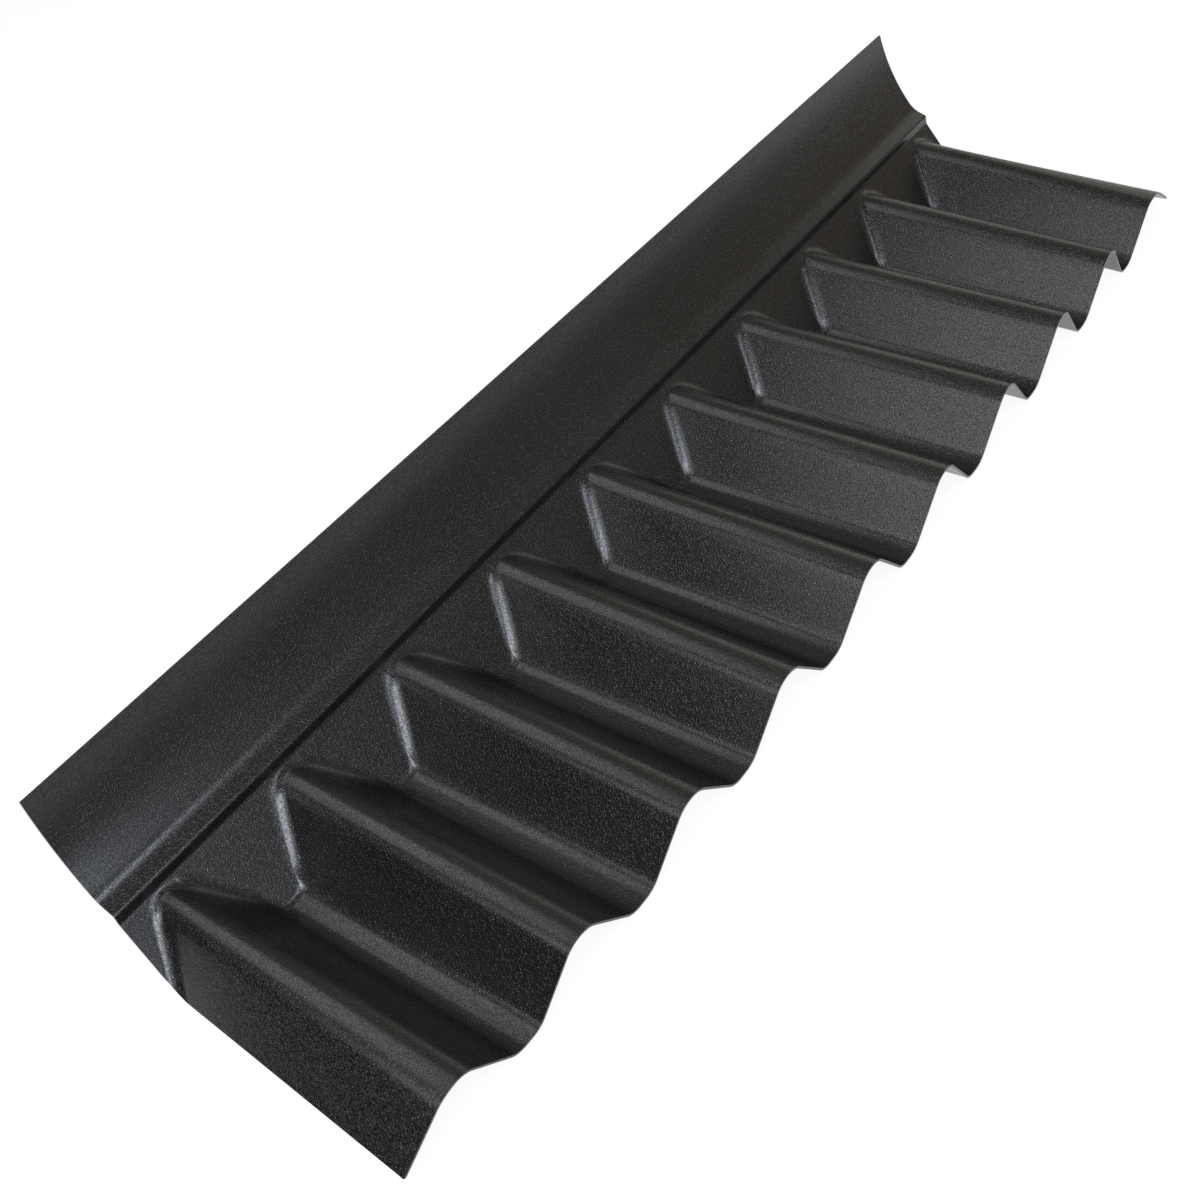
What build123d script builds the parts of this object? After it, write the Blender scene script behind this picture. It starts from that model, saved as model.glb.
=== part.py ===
from build123d import *
import os
from math import asin, atan2, cos, degrees, hypot, radians, sin, tan

# Wall abutment flashing for a corrugated roof: one sheet of plastic, thermoformed in one piece.
# The corrugated apron laps over the roof sheet, a sloping closure fills the end of each trough,
# and above the step and the nose the upstand curves up against the wall.
# X runs along the wall, +Y points to the wall and +Z up. The sheet lies on its valleys, with its
# origin on the floor under the middle of its box. Lengths are in millimetres, angles in degrees.

# Corrugation, measured on the underside, which seats on the roof sheet
PITCH = 95.0
CREST_COUNT = 10
WAVE_HEIGHT = 38.0
CREST_RADIUS = 14.0
VALLEY_RADIUS = 14.0
VALLEY_FLAT = 5.0

# Sheet
WALL = 1.5
NEAR_END = 33.0  # from the first crest to that end of the sheet
FAR_END = 28.0  # from the last crest to the other end
APRON_LENGTH = 168.0  # from the front edge to the foot of the closures

# Trough closures, step and nose, with the radii of the underside
CLOSURE_ANGLE = 44.0
CLOSURE_FILLET = 8.0
STEP_ANGLE = 84.0
STEP_HEIGHT = 6.0
STEP_ROOT_RADIUS = 3.2
NOSE_RADIUS = 0.6

# Lip and upstand
LIP_LENGTH = 12.0
LIP_ANGLE = 18.0
BEND_RADIUS = 10.0
UPSTAND_FOOT = 5.0  # straight run before the curve
UPSTAND_ANGLE = 49.0  # slope where the curve starts
UPSTAND_RADIUS = 143.0
UPSTAND_LENGTH = 63.0  # along the curve

# Stock beyond the edges that is trimmed off, and the flat left between two fillets
TRIM = 12.0
LAND = 0.4

# The flank is the line that touches the crest arc and the valley arc
flank_run = (PITCH - VALLEY_FLAT) / 2
flank_rise = WAVE_HEIGHT - CREST_RADIUS - VALLEY_RADIUS
flank_angle = atan2(flank_rise, flank_run)
flank_angle += asin((CREST_RADIUS + VALLEY_RADIUS) / hypot(flank_run, flank_rise))
apex_height = WAVE_HEIGHT + CREST_RADIUS * (1 / cos(flank_angle) - 1)
valley_corner = VALLEY_FLAT / 2 + VALLEY_RADIUS * tan(flank_angle / 2)

# The closures rise past the crests by as much as the fillets at their two edges take up
closure_land = CLOSURE_FILLET * tan(radians(CLOSURE_ANGLE / 2))
closure_land += STEP_ROOT_RADIUS * tan(radians(STEP_ANGLE - CLOSURE_ANGLE) / 2) + LAND
closure_length = WAVE_HEIGHT / sin(radians(CLOSURE_ANGLE)) + closure_land
closure_run = closure_length * cos(radians(CLOSURE_ANGLE))

sheet_length = NEAR_END + (CREST_COUNT - 1) * PITCH + FAR_END
stock_floor = -2 * TRIM


def step_on(start, length, slope):
    """The point of a section that lies a length away from a start point, up a slope."""
    return Vector(*start) + Vector(length, 0).rotate(Axis.Z, slope)


def wave_line():
    """The corrugation across the sheet, from valley to valley, as a rounded zigzag."""
    points = [(-PITCH / 2, 0)]
    radii = []
    for crest in range(CREST_COUNT):
        middle = crest * PITCH
        points.append((middle - PITCH / 2 + valley_corner, 0))
        points.append((middle, apex_height))
        points.append((middle + PITCH / 2 - valley_corner, 0))
        radii += [VALLEY_RADIUS, CREST_RADIUS, VALLEY_RADIUS]
    points.append(((CREST_COUNT - 0.5) * PITCH, 0))
    return FilletPolyline(*points, radius=radii)


def wall_lines():
    """The line from below the closure to the lip, and the curve of the upstand that follows it."""
    foot = (APRON_LENGTH, 0)
    root = step_on(foot, closure_length, CLOSURE_ANGLE)
    nose = step_on(root, STEP_HEIGHT / sin(radians(STEP_ANGLE)), STEP_ANGLE)
    bend = step_on(nose, LIP_LENGTH, LIP_ANGLE)
    spring = step_on(bend, UPSTAND_FOOT, UPSTAND_ANGLE)
    below = step_on(foot, stock_floor / sin(radians(CLOSURE_ANGLE)), CLOSURE_ANGLE)
    radii = [STEP_ROOT_RADIUS, NOSE_RADIUS, BEND_RADIUS]
    ramp = FilletPolyline(below, root, nose, bend, spring, radius=radii)
    upstand = JernArc(ramp @ 1, ramp % 1, UPSTAND_RADIUS, degrees(UPSTAND_LENGTH / UPSTAND_RADIUS))
    return ramp, upstand


def wave_section(grow):
    """The stock under the waves, cut across the sheet."""
    line = wave_line()
    start, end = line @ 0, line @ 1
    base = Polyline(end, (end.X, stock_floor), (start.X, stock_floor), start)
    return offset(make_face(line.edges() + base.edges()), grow, kind=Kind.INTERSECTION)


def wall_section(grow):
    """The stock behind the closures and the upstand, cut along the slope of the roof."""
    ramp, upstand = wall_lines()
    spare = upstand @ 1 + (upstand % 1) * TRIM
    back = spare.X + 2 * TRIM
    base = Polyline(upstand @ 1, spare, (back, spare.Y), (back, stock_floor), ramp @ 0)
    return offset(make_face(ramp.edges() + upstand.edges() + base.edges()), grow, kind=Kind.INTERSECTION)


def stock(grow):
    """The untrimmed block whose top is the underside of the sheet, grown outwards."""
    waves = extrude(Plane.XZ * wave_section(grow), -(APRON_LENGTH + closure_run + TRIM))
    ends = Plane.YZ.offset(-PITCH / 2 - grow)
    wall = extrude(ends * wall_section(grow), CREST_COUNT * PITCH + 2 * grow)
    block = waves + wall
    slope = Vector(0, -sin(radians(CLOSURE_ANGLE)), cos(radians(CLOSURE_ANGLE)))
    closure = block.faces().sort_by(lambda face: face.normal_at().dot(slope))[-1]
    crest_level = WAVE_HEIGHT + grow + LAND / 10
    seams = [edge for edge in closure.edges() if edge.bounding_box().max.Z < crest_level]
    return fillet(seams, CLOSURE_FILLET - grow)


def flashing():
    """The sheet between two such blocks, trimmed at its ends, its floor and its top edge."""
    upstand = wall_lines()[1]
    top, rise = upstand @ 1, upstand % 1
    keep = Box(sheet_length, top.X + TRIM, top.Y + TRIM, align=Align.MIN)
    sheet = (stock(WALL) & Pos(X=-NEAR_END) * keep) - stock(0)
    top_edge = Plane((0, top.X, top.Y), z_dir=(0, rise.X, rise.Y))
    sheet = split(sheet, top_edge, keep=Keep.BOTTOM)
    middle = sheet.bounding_box().center()
    return Pos(-middle.X, -middle.Y) * sheet


os.makedirs("parts", exist_ok=True)
export_step(flashing(), "parts/flashing_sheet.step")
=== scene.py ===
"""Looks of the wall abutment flashing: one sheet of grained black plastic on a pale studio floor.

The sheet is worked out as one surface from the same driving sizes as the solid. X runs along the
wall, +Y points to the wall and +Z up. Sizes are in metres, written as millimetres times MM.
"""

from __future__ import annotations

import logging
from dataclasses import dataclass
from enum import Enum

import bpy
import numpy as np
from mathutils import Matrix, Vector
from numpy.polynomial.chebyshev import chebval

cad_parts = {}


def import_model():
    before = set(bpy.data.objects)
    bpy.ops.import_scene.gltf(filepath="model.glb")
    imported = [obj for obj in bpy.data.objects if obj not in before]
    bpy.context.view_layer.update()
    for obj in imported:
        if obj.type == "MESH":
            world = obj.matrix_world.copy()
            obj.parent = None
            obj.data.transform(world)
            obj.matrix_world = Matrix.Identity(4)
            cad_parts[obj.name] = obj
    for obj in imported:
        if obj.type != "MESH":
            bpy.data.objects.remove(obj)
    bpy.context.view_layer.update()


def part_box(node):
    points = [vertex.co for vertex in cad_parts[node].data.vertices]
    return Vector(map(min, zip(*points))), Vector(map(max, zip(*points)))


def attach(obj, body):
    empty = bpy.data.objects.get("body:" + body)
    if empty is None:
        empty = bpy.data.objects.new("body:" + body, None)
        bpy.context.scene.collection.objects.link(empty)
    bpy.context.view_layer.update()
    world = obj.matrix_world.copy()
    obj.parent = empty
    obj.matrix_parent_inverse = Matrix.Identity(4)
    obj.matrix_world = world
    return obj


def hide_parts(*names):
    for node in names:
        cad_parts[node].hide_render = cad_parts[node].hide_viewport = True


LOG = logging.getLogger("flashing")
MM = 0.001


class Part(Enum):
    """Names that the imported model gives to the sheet, its body and its finish."""

    NODE = "flashing_sheet"
    BODY = "root"
    SLOT = "grained_black_plastic"


def slope_normal(slope: np.ndarray) -> np.ndarray:
    """Unit normal on the left of a line: the slope's direction turned by a right angle.

    Args:
        slope: angles of the line above the horizontal, in radians.

    Returns:
        An array with a last axis of two, across and up.
    """
    return np.stack([-np.sin(slope), np.cos(slope)], axis=-1)


@dataclass
class Wave:
    """The corrugation: crest arcs and valley arcs joined by straight flanks.

    The radii are those of the underside, so the upper side of the sheet has a crest radius
    larger by the wall and a valley radius smaller by the wall.
    """

    wall: float
    pitch: float = 95 * MM
    count: int = 10
    height: float = 38 * MM
    crest_radius: float = 14 * MM
    valley_radius: float = 14 * MM
    valley_flat: float = 5 * MM
    arc_steps: int = 8
    flank_steps: int = 7
    end_gap: float = 0.4 * MM

    @property
    def flank(self) -> float:
        """Angle of the line that touches both arcs.

        It is the angle of the line between the arcs' centres, plus the angle whose sine is the
        sum of the radii over the distance of the centres.

        Returns:
            The angle above the horizontal, in radians.
        """
        run = (self.pitch - self.valley_flat) / 2
        rise = self.height - self.crest_radius - self.valley_radius
        return np.arctan2(rise, run) + np.arcsin(
            (self.crest_radius + self.valley_radius) / np.hypot(run, rise)
        )

    def offsets(self) -> np.ndarray:
        """Distances from a crest at which half a wave gets a column, closer on the arcs.

        Each arc is cut at even angles, so a distance is the radius times the sine of the angle.

        Returns:
            Rising distances from the crest to the middle of the valley.
        """
        turn = np.sin(np.linspace(0.0, self.flank, self.arc_steps + 1))
        crest = (self.crest_radius + self.wall) * turn
        foot = (self.pitch - self.valley_flat) / 2
        valley = foot - (self.valley_radius - self.wall) * turn[::-1]
        flank = np.linspace(crest[-1], valley[0], self.flank_steps + 1)[1:-1]
        return np.concatenate([crest, flank, valley, [self.pitch / 2]])

    def columns(self, first: float, low: float, high: float) -> np.ndarray:
        """Places along the sheet at which its surface is worked out.

        Args:
            first: place of the first crest.
            low: place of the near end.
            high: place of the far end.

        Returns:
            Rising places from one end to the other.
        """
        half = self.offsets()
        wave = np.concatenate([-half[:0:-1], half[:-1]])
        crests = first + self.pitch * np.arange(-1, self.count + 1)
        places = (crests[:, None] + wave).ravel()
        inside = places[(places > low + self.end_gap) & (places < high - self.end_gap)]
        return np.concatenate([[low], inside, [high]])

    def upper(self, from_crest: np.ndarray) -> tuple[np.ndarray, np.ndarray]:
        """Height and steepness of the upper side.

        On the crest and the valley the height follows a circle, and between them a straight line.

        Args:
            from_crest: distances from the nearest crest, with their sign.

        Returns:
            Heights above the floor, and the rise of the surface for each step along it.
        """
        crest = self.crest_radius + self.wall
        valley = self.valley_radius - self.wall
        side = np.abs(from_crest)
        into = np.clip((self.pitch - self.valley_flat) / 2 - side, 0.0, None)
        turn = np.sin(self.flank)
        top = self.height + self.wall
        on_crest = side < crest * turn
        in_valley = into < valley * turn
        round_top = np.sqrt(crest**2 - np.minimum(side, crest * turn) ** 2)
        round_low = np.sqrt(valley**2 - np.minimum(into, valley * turn) ** 2)
        flank_top = top - crest + crest * np.cos(self.flank)
        height = flank_top - (side - crest * turn) * np.tan(self.flank)
        height = np.where(on_crest, top - crest + round_top, height)
        height = np.where(in_valley, self.wall + valley - round_low, height)
        steep = np.full_like(side, np.tan(self.flank))
        steep = np.where(on_crest, side / round_top, steep)
        steep = np.where(in_valley, into / round_low, steep)
        return height, -np.sign(from_crest) * steep


@dataclass
class WallSection:
    """The line up the wall side: step, nose, lip and curved upstand, as on the underside."""

    wall: float
    foot: float = 168 * MM
    closure_slope: float = np.radians(44)
    closure_rise: float = 38 * MM
    closure_fillet: float = 8 * MM
    step_slope: float = np.radians(84)
    step_height: float = 6 * MM
    root_radius: float = 3.2 * MM
    soft_root: float = 5 * MM
    nose_radius: float = 0.6 * MM
    lip_length: float = 12 * MM
    lip_slope: float = np.radians(18)
    bend_radius: float = 22 * MM
    straight: float = 6.8 * MM
    upstand_slope: float = np.radians(49)
    upstand_radius: float = 143 * MM
    upstand_length: float = 61.2 * MM
    land: float = 0.4 * MM
    arc_steps: int = 6
    upstand_steps: int = 22

    @property
    def closure_length(self) -> float:
        """Length of the closure plane up to the corner with the step.

        It is the rise over the sine of the slope, plus what the two fillets and a short land
        take.

        Returns:
            The length along the slope.
        """
        past = self.closure_fillet * np.tan(self.closure_slope / 2)
        past += self.root_radius * np.tan((self.step_slope - self.closure_slope) / 2)
        return self.closure_rise / np.sin(self.closure_slope) + past + self.land

    def nose(self, points: np.ndarray) -> np.ndarray:
        """Middle of the nose, the second corner of the line.

        Args:
            points: the points that upper gives.

        Returns:
            One point, across and up.
        """
        return points[self.arc_steps + 1 + self.arc_steps // 2]

    def upper(self) -> np.ndarray:
        """Points of the upper side from the end of the closure plane to the top edge.

        Each corner is a circle that touches both its lines, and the upstand is a circle that
        goes on from the last line. The upper side lies one wall along the normal.

        Returns:
            An array of points, across and up.
        """
        slopes = [self.closure_slope, self.step_slope, self.lip_slope, self.upstand_slope]
        lengths = [
            self.closure_length,
            self.step_height / np.sin(self.step_slope),
            self.lip_length,
            self.straight,
        ]
        radii = [self.soft_root, self.nose_radius, self.bend_radius]
        corner = np.array([self.foot, 0.0])
        points, angles = [], []
        for before, after, length, radius in zip(slopes, slopes[1:], lengths, radii):
            corner = corner + length * np.array([np.cos(before), np.sin(before)])
            turn = after - before
            reach = radius * np.tan(abs(turn) / 2)
            start = corner - reach * np.array([np.cos(before), np.sin(before)])
            angle = np.linspace(before, after, self.arc_steps + 1)
            centre = start + np.sign(turn) * radius * slope_normal(np.array(before))
            points.append(centre - np.sign(turn) * radius * slope_normal(angle))
            angles.append(angle)
        spring = corner + lengths[-1] * np.array([np.cos(slopes[-1]), np.sin(slopes[-1])])
        sweep = self.upstand_length / self.upstand_radius
        angle = slopes[-1] + np.linspace(0.0, sweep, self.upstand_steps + 1)
        centre = spring + self.upstand_radius * slope_normal(np.array(slopes[-1]))
        points.append(centre - self.upstand_radius * slope_normal(angle))
        angles.append(angle)
        return np.concatenate(points) + self.wall * slope_normal(np.concatenate(angles))


@dataclass
class StorageSet:
    """How the thin sheet has sprung out of true, by a few millimetres.

    Each tuple of a wave along the sheet holds the shares of the first Chebyshev polynomials.
    The tuples of the two ends hold the shift at the front edge, closure foot, nose and top edge.
    """

    creep_middle: float = 6.9 * MM
    creep_skew: float = 10.5 * MM
    creep_outer: float = -10.4 * MM
    fan: tuple[float, ...] = (0.0, -2.4 * MM, -3.8 * MM, -2.9 * MM)
    bow: tuple[float, ...] = (0.35 * MM, 0.85 * MM, 2.7 * MM, -0.9 * MM)
    near_bow: float = 4.2 * MM
    near_reach: float = 78 * MM
    spring: tuple[float, ...] = (3.2 * MM, -3.3 * MM, 1.2 * MM)
    lift: tuple[float, ...] = (1.1 * MM, -1.1 * MM, -1.9 * MM)
    near_end: tuple[float, ...] = (-11.8 * MM, -0.2 * MM, 4.9 * MM, 9.8 * MM)
    far_end: tuple[float, ...] = (13.5 * MM, -8.2 * MM, 0.3 * MM, 2.3 * MM)
    near_tip: float = -1.2 * MM
    far_tip: float = 5.4 * MM

    def bend(self, points: np.ndarray, station: np.ndarray, crests: tuple[float, float],
             crest_height: float) -> np.ndarray:
        """Moves the points of the sheet a few millimetres.

        The waves creep along the sheet, the front edge fans and bows, its valleys spring up
        more than its crests, and the flanks outside the first and last crest spread. With t
        from -1 at the near end to 1 at the far end, the creep is a quadratic of t times one
        less t squared. The fan, bow, spring and lift are sums of Chebyshev polynomials of t,
        with one more bow that dies away from the near end, and all of them fade in a straight
        line from the front edge to the closure foot.

        Args:
            points: points of the true sheet, as an array of columns by rows by three.
            station: place up the section, 0 at the front edge, 1 at the closure foot, 2 at the
                nose and 3 at the top edge.
            crests: places of the first and the last crest.
            crest_height: height of the crests.

        Returns:
            The moved points.
        """
        x, _, z = np.moveaxis(points, -1, 0)
        low, high = x.min(), x.max()
        t = 2 * (x - low) / (high - low) - 1
        front = np.clip(1.0 - station, 0.0, 1.0)
        near = np.clip((crests[0] - x) / (crests[0] - low), 0.0, 1.0)
        far = np.clip((x - crests[1]) / (high - crests[1]), 0.0, 1.0)
        inner = 1 - t**2
        creep = inner * (self.creep_middle + self.creep_skew * t + self.creep_outer * t**2)
        stations = range(len(self.near_end))
        ends = near * np.interp(station, stations, self.near_end)
        ends = ends + far * np.interp(station, stations, self.far_end)
        bow = chebval(t, self.bow) + self.near_bow * np.exp(-(x - low) / self.near_reach)
        rise = chebval(t, self.spring) * (1 - z / crest_height) + chebval(t, self.lift)
        rise = rise + self.near_tip * near + self.far_tip * far
        moved = points.copy()
        moved[..., 0] += creep + front * chebval(t, self.fan) + ends
        moved[..., 1] += front * bow
        moved[..., 2] += front * rise
        return moved


@dataclass
class FlashingSheet:
    """The whole sheet: apron, trough closures, step, nose and upstand in one skin with a wall."""

    low: Vector
    high: Vector
    wall: float = 1.5 * MM
    near_end: float = 33 * MM
    apron_rows: int = 24
    fillet_rows: int = 18
    closure_rows: int = 9
    crest_fillet: float = 10 * MM
    flank_fillet: float = 13.5 * MM
    fillet_before: float = 13 * MM
    fillet_after: float = 14 * MM
    fillet_most: float = 0.8
    sharp_edge: float = np.radians(40)

    def __post_init__(self) -> None:
        """Makes the two lines that the surface is worked out from, and the spring on top."""
        self.wave = Wave(self.wall)
        self.section = WallSection(self.wall)
        self.storage = StorageSet()
        self.first = self.low.x + self.near_end

    def filleted(self, wave: np.ndarray, steep: np.ndarray, across: np.ndarray) -> np.ndarray:
        """Height of the apron and the closure plane with a ball rolled along their corner.

        The ball's centre lies one radius from both planes. With p and q for how far a point
        lies nearer to the first and the second plane than the centre does, in radii, and c for
        the product of the two normals, the point is on the ball where p squared plus q squared
        less twice c times p times q is one less c squared. p and q fall with the height at the
        even rates a and b, so that is a quadratic for the height. Its lower root is the side of
        the ball that faces the corner, and it holds between the two lines of touch. The ball is
        larger halfway up the flanks than at the crests and valleys.

        Args:
            wave: height of the wave at each column.
            steep: rise of the wave for each step along the sheet.
            across: distances from the front edge, as columns by rows.

        Returns:
            Heights, as columns by rows.
        """
        share = (wave - wave.min()) / np.ptp(wave)
        bell = 4 * share * (1 - share)
        radius = self.crest_fillet + bell * (self.flank_fillet - self.crest_fillet) - self.wall
        radius = radius[:, None]
        slope = self.section.closure_slope
        plane = (across - self.section.foot) * np.tan(slope) + self.wall / np.cos(slope)
        wave = wave[:, None] + np.zeros_like(across)
        a = (1.0 / np.sqrt(1.0 + steep**2))[:, None] / radius
        b = np.cos(slope) / radius
        c = a * b * radius**2
        p0, q0 = 1.0 + a * wave, 1.0 + b * plane
        square = a**2 + b**2 - 2 * c * a * b
        linear = -2 * (a * p0 + b * q0 - c * (a * q0 + b * p0))
        constant = p0**2 + q0**2 - 2 * c * p0 * q0 - (1 - c**2)
        root = np.sqrt(np.maximum(linear**2 - 4 * square * constant, 0.0))
        height = (-linear - root) / (2 * square)
        p, q = p0 - a * height, q0 - b * height
        touching = (p - c * q >= 0) & (q - c * p >= 0) & (height >= np.maximum(wave, plane))
        return np.where(touching, height, np.maximum(wave, plane))

    def upper(self) -> tuple[np.ndarray, np.ndarray]:
        """Upper side of the sheet, a grid of columns along the wall and rows up the section.

        Rows are closest round the corner of apron and closure, which lies further back the
        higher the wave is.

        Returns:
            The points, and the station of each up the section, from 0 to 3.
        """
        x = self.wave.columns(self.first, self.low.x, self.high.x)
        nearest = np.round((x - self.first) / self.wave.pitch)
        nearest = np.clip(nearest, 0, self.wave.count - 1)
        wave, steep = self.wave.upper(x - self.first - nearest * self.wave.pitch)
        rise = self.section.upper()
        slope = self.section.closure_slope
        corner = self.section.foot + (wave - self.wall / np.cos(slope)) / np.tan(slope)
        root = rise[0, 0]
        before = corner - self.fillet_before
        after = corner + np.minimum(self.fillet_after, self.fillet_most * (root - corner))
        apron = before[:, None] * np.linspace(0.0, 1.0, self.apron_rows + 1)[:-1]
        share = np.linspace(0.0, 1.0, self.fillet_rows + 1)[:-1]
        fillet = before[:, None] + (after - before)[:, None] * share
        share = np.linspace(0.0, 1.0, self.closure_rows + 1)[:-1]
        closure = after[:, None] + (root - after)[:, None] * share
        across = np.concatenate([apron, fillet, closure], axis=1)
        height = self.filleted(wave, steep, across)
        flat = np.ones_like(x)[:, None]
        across = np.concatenate([across, flat * rise[:, 0]], axis=1)
        height = np.concatenate([height, flat * rise[:, 1]], axis=1)
        along = x[:, None] + np.zeros_like(across)
        points = np.stack([along, self.low.y + across, height], axis=-1)
        foot, nose, top = self.section.foot, self.section.nose(rise), rise[-1]
        station = np.clip(across / foot, 0.0, 1.0)
        station = station + np.clip((across - foot) / (nose[0] - foot), 0.0, 1.0)
        above = np.clip((height - nose[1]) / (top[1] - nose[1]), 0.0, 1.0)
        return points, station + above * (across > nose[0])

    def bent(self, points: np.ndarray, station: np.ndarray) -> np.ndarray:
        """One side of the sheet after it has sprung out of true.

        Args:
            points: points of the true side, as columns by rows by three.
            station: station of each point up the section.

        Returns:
            The moved points, as one list.
        """
        last = self.first + (self.wave.count - 1) * self.wave.pitch
        top = self.wave.height + self.wall
        moved = self.storage.bend(points, station, (self.first, last), top)
        return moved.reshape(-1, 3)

    @staticmethod
    def normals(points: np.ndarray) -> np.ndarray:
        """Unit normals of a grid: the cross product of its two directions, over its length.

        Args:
            points: points of the grid, as columns by rows by three.

        Returns:
            Normals that point up, in the same order.
        """
        along = np.gradient(points, axis=0)
        up = np.gradient(points, axis=1)
        cross = np.cross(along, up)
        return cross / np.linalg.norm(cross, axis=-1, keepdims=True)

    @staticmethod
    def faces(columns: int, rows: int) -> np.ndarray:
        """Quads of the upper grid, the lower grid and the rim that joins their borders.

        Args:
            columns: number of columns of each grid.
            rows: number of rows of each grid.

        Returns:
            Four vertex numbers for each quad, with the faces pointing outwards.
        """
        number = np.arange(columns * rows).reshape(columns, rows)
        quads = np.stack(
            [number[:-1, :-1], number[1:, :-1], number[1:, 1:], number[:-1, 1:]], axis=-1
        ).reshape(-1, 4)
        lower = quads[:, ::-1] + columns * rows
        border = np.concatenate(
            [number[:-1, 0], number[-1, :-1], number[:0:-1, -1], number[0, :0:-1]]
        )
        after = np.roll(border, -1)
        rim = np.stack(
            [after, border, border + columns * rows, after + columns * rows], axis=-1
        )
        return np.concatenate([quads, lower, rim])

    def build(self) -> bpy.types.Object:
        """Makes the mesh of the sheet and links it into the scene.

        Returns:
            The new object, at the origin.
        """
        points, station = self.upper()
        under = points - self.wall * self.normals(points)
        both = np.concatenate([self.bent(side, station) for side in (points, under)])
        quads = self.faces(*points.shape[:2])
        mesh = bpy.data.meshes.new("formed_sheet")
        mesh.vertices.add(len(both))
        mesh.vertices.foreach_set("co", both.ravel())
        mesh.loops.add(quads.size)
        mesh.loops.foreach_set("vertex_index", quads.ravel())
        mesh.polygons.add(len(quads))
        mesh.polygons.foreach_set("loop_start", np.arange(0, quads.size, quads.shape[1]))
        mesh.polygons.foreach_set("use_smooth", np.ones(len(quads), bool))
        mesh.update(calc_edges=True)
        mesh.validate()
        mesh.set_sharp_from_angle(angle=self.sharp_edge)
        sheet = bpy.data.objects.new("formed_sheet", mesh)
        bpy.context.scene.collection.objects.link(sheet)
        return sheet

    @staticmethod
    def dress(sheet: bpy.types.Object, finish: GrainedPlastic) -> None:
        """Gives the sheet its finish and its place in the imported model.

        Args:
            sheet: the object that build gives.
            finish: the plastic of the sheet.
        """
        sheet.data.materials.append(finish.material(Part.SLOT.value))
        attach(sheet, Part.BODY.value)
        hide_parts(Part.NODE.value)


@dataclass(frozen=True)
class GrainedPlastic:
    """Charcoal plastic with a hair-cell grain rolled into the sheet before it is formed."""

    colour: tuple[float, float, float] = (0.0068, 0.0067, 0.0066)
    pale: tuple[float, float, float] = (0.0088, 0.0087, 0.0085)
    smooth: float = 0.22
    rough: float = 0.27
    grain: float = 1.4 * MM
    grain_detail: float = 1.0
    grain_twist: float = 0.9
    valley_level: float = 0.47
    ridge_level: float = 0.58
    cloud: float = 70 * MM
    cloud_detail: float = 4.0
    cloud_low: float = 0.3
    cloud_high: float = 0.7
    relief: float = 0.075 * MM
    strength: float = 1.0
    ior: float = 1.58

    def material(self, name: str) -> bpy.types.Material:
        """Builds the node material.

        The grain is twisted noise cut between two levels, which leaves flat worms with soft
        walls. Slow clouds vary colour and gloss.

        Args:
            name: name of the new material.

        Returns:
            The material.
        """
        made = bpy.data.materials.new(name)
        made.use_nodes = True
        nodes, links = made.node_tree.nodes, made.node_tree.links
        shader = nodes["Principled BSDF"]
        shader.inputs["IOR"].default_value = self.ior
        place = nodes.new("ShaderNodeTexCoord").outputs["Object"]

        worms = nodes.new("ShaderNodeTexNoise")
        worms.inputs["Scale"].default_value = 1 / self.grain
        worms.inputs["Detail"].default_value = self.grain_detail
        worms.inputs["Distortion"].default_value = self.grain_twist
        links.new(place, worms.inputs["Vector"])
        height = nodes.new("ShaderNodeMapRange")
        height.interpolation_type = "SMOOTHSTEP"
        height.inputs["From Min"].default_value = self.valley_level
        height.inputs["From Max"].default_value = self.ridge_level
        links.new(worms.outputs["Fac"], height.inputs["Value"])
        bump = nodes.new("ShaderNodeBump")
        bump.inputs["Strength"].default_value = self.strength
        bump.inputs["Distance"].default_value = self.relief
        links.new(height.outputs["Result"], bump.inputs["Height"])
        links.new(bump.outputs["Normal"], shader.inputs["Normal"])

        clouds = nodes.new("ShaderNodeTexNoise")
        clouds.inputs["Scale"].default_value = 1 / self.cloud
        clouds.inputs["Detail"].default_value = self.cloud_detail
        links.new(place, clouds.inputs["Vector"])
        gloss = nodes.new("ShaderNodeMapRange")
        gloss.inputs["From Min"].default_value = self.cloud_low
        gloss.inputs["From Max"].default_value = self.cloud_high
        gloss.inputs["To Min"].default_value = self.smooth
        gloss.inputs["To Max"].default_value = self.rough
        links.new(clouds.outputs["Fac"], gloss.inputs["Value"])
        links.new(gloss.outputs["Result"], shader.inputs["Roughness"])
        tone = nodes.new("ShaderNodeValToRGB")
        dark, light = tone.color_ramp.elements
        dark.position, light.position = self.cloud_low, self.cloud_high
        dark.color = (*self.colour, 1.0)
        light.color = (*self.pale, 1.0)
        links.new(clouds.outputs["Fac"], tone.inputs["Fac"])
        links.new(tone.outputs["Color"], shader.inputs["Base Color"])
        return made


@dataclass(frozen=True)
class Softbox:
    """A rectangular studio lamp that faces a point of the sheet."""

    name: str
    place: tuple[float, float, float]
    width: float
    depth: float
    power: float
    colour: tuple[float, float, float] = (1.0, 1.0, 1.0)
    target: tuple[float, float, float] = (0.0, 0.0, 0.0)

    def build(self) -> None:
        """Makes the lamp and turns it to its target."""
        lamp = bpy.data.lights.new(self.name, "AREA")
        lamp.shape = "RECTANGLE"
        lamp.size, lamp.size_y = self.width, self.depth
        lamp.energy = self.power
        lamp.color = self.colour
        holder = bpy.data.objects.new(self.name, lamp)
        bpy.context.scene.collection.objects.link(holder)
        place = Vector(self.place)
        aim = (Vector(self.target) - place).to_track_quat("-Z", "Y")
        holder.matrix_world = Matrix.LocRotScale(place, aim, None)


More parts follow.
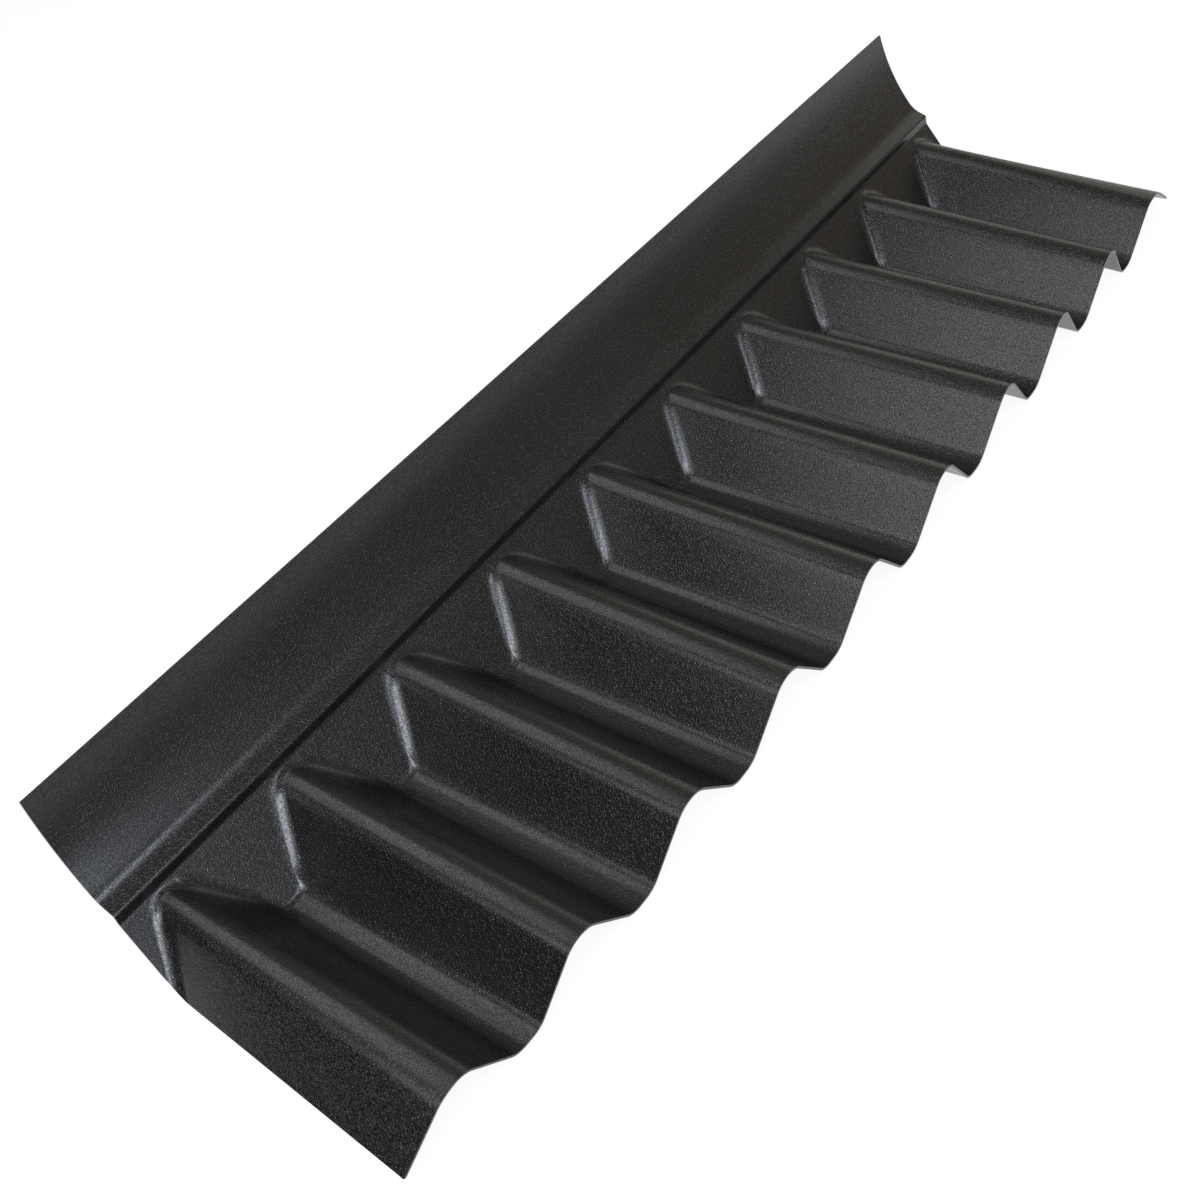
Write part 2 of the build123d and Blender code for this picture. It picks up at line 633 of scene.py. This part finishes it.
@dataclass
class Studio:
    """Pale floor, soft light and the camera of the picture."""

    floor_size: float = 60.0
    floor_colour: float = 0.12
    floor_glow: float = 0.92
    floor_rough: float = 0.9
    room_dark: tuple[float, float, float] = (0.01, 0.01, 0.01)
    room_warm: tuple[float, float, float] = (0.30, 0.26, 0.215)
    room_dark_from: float = -0.6
    room_warm_from: float = 0.5
    lamps: tuple[Softbox, ...] = (
        Softbox("window", (-1.33, -0.58, 1.90), 1.3, 0.8, 38.0, (0.865, 0.92, 1.0)),
        Softbox("overhead", (-0.10, -1.10, 2.14), 0.7, 0.5, 10.0, (0.81, 0.885, 1.0)),
        Softbox("doorway", (-0.34, -1.95, 1.21), 0.8, 0.7, 8.0, (0.79, 0.87, 1.0)),
        Softbox("skylight", (-1.70, 0.45, 1.64), 1.0, 0.7, 6.0, (1.0, 0.98, 0.97)),
        Softbox("back", (-0.22, 1.25, 2.04), 1.6, 0.8, 7.7, (0.94, 0.97, 1.0)),
        Softbox("room_end", (2.2, 0.5, 0.9), 1.6, 1.2, 4.2, (1.0, 1.0, 0.97)),
    )
    camera_place: tuple[float, float, float] = (-0.6053, -0.4243, 0.6651)
    camera_forward: tuple[float, float, float] = (0.5268, 0.4767, -0.7038)
    camera_right: tuple[float, float, float] = (0.5749, -0.8097, -0.1181)
    focal_pixels: float = 1469.0
    image_pixels: float = 1200.0
    sensor: float = 36.0

    def build_floor(self) -> None:
        """A square floor that the camera sees as white and that keeps the shadow.

        Its glow is seen by camera, mirrored and transmitted rays alone, so it lights nothing else.
        """
        half = self.floor_size / 2
        corner = np.array([[-1, -1], [1, -1], [1, 1], [-1, 1]]) * half
        mesh = bpy.data.meshes.new("studio_floor")
        mesh.from_pydata(np.column_stack([corner, np.zeros(4)]).tolist(), [], [(0, 1, 2, 3)])
        floor = bpy.data.objects.new("studio_floor", mesh)
        bpy.context.scene.collection.objects.link(floor)
        paint = bpy.data.materials.new("studio_floor")
        paint.use_nodes = True
        nodes, links = paint.node_tree.nodes, paint.node_tree.links
        shader = nodes["Principled BSDF"]
        shader.inputs["Base Color"].default_value = (*(self.floor_colour,) * 3, 1.0)
        shader.inputs["Roughness"].default_value = self.floor_rough
        shader.inputs["Specular IOR Level"].default_value = 0.0
        shader.inputs["Emission Color"].default_value = (1.0, 1.0, 1.0, 1.0)
        path = nodes.new("ShaderNodeLightPath")
        mirrored = nodes.new("ShaderNodeMath")
        mirrored.operation = "MAXIMUM"
        links.new(path.outputs["Is Glossy Ray"], mirrored.inputs[0])
        links.new(path.outputs["Is Transmission Ray"], mirrored.inputs[1])
        seen = nodes.new("ShaderNodeMath")
        seen.operation = "MAXIMUM"
        links.new(path.outputs["Is Camera Ray"], seen.inputs[0])
        links.new(mirrored.outputs["Value"], seen.inputs[1])
        glow = nodes.new("ShaderNodeMath")
        glow.operation = "MULTIPLY"
        glow.inputs[1].default_value = self.floor_glow
        links.new(seen.outputs["Value"], glow.inputs[0])
        links.new(glow.outputs["Value"], shader.inputs["Emission Strength"])
        mesh.materials.append(paint)

    def build_light(self) -> None:
        """Soft lamps round the sheet, in a room that is dark behind the camera and warm beyond."""
        world = bpy.data.worlds.new("studio_room")
        world.use_nodes = True
        nodes, links = world.node_tree.nodes, world.node_tree.links
        back = nodes["Background"]
        split = nodes.new("ShaderNodeSeparateXYZ")
        links.new(nodes.new("ShaderNodeTexCoord").outputs["Generated"], split.inputs["Vector"])
        side = nodes.new("ShaderNodeMapRange")
        side.inputs["From Min"].default_value = self.room_dark_from
        side.inputs["From Max"].default_value = self.room_warm_from
        links.new(split.outputs["X"], side.inputs["Value"])
        room = nodes.new("ShaderNodeValToRGB")
        dark, warm = room.color_ramp.elements
        dark.color = (*self.room_dark, 1.0)
        warm.color = (*self.room_warm, 1.0)
        links.new(side.outputs["Result"], room.inputs["Fac"])
        links.new(room.outputs["Color"], back.inputs["Color"])
        bpy.context.scene.world = world
        for lamp in self.lamps:
            lamp.build()

    def build_camera(self) -> None:
        """The camera at the picture's viewing angle, from its place and its two directions."""
        lens = bpy.data.cameras.new("camera")
        lens.sensor_width = self.sensor
        lens.lens = self.focal_pixels / self.image_pixels * self.sensor
        forward = Vector(self.camera_forward).normalized()
        right = Vector(self.camera_right)
        right = (right - forward * right.dot(forward)).normalized()
        up = right.cross(forward)
        turn = Matrix((right, up, -forward)).transposed()
        camera = bpy.data.objects.new("camera", lens)
        place = Vector(self.camera_place)
        camera.matrix_world = Matrix.LocRotScale(place, turn.to_quaternion(), None)
        bpy.context.scene.collection.objects.link(camera)
        bpy.context.scene.camera = camera

    def build(self) -> None:
        """Makes the whole studio, the plain view transform and a picture that keeps its grain.

        The denoiser is off, because it rubs away grain that is only three pixels wide.
        """
        self.build_floor()
        self.build_light()
        self.build_camera()
        bpy.context.scene.view_settings.view_transform = "Standard"
        bpy.context.scene.cycles.use_denoising = False


def main() -> None:
    """Loads the frame, builds the sheet over its solid and sets up the studio."""
    logging.basicConfig(level=logging.INFO, format="%(name)s: %(message)s")
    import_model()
    flashing = FlashingSheet(*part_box(Part.NODE.value))
    sheet = flashing.build()
    flashing.dress(sheet, GrainedPlastic())
    LOG.info("%s: %d faces", sheet.name, len(sheet.data.polygons))
    Studio().build()


if __name__ == "__main__":
    main()
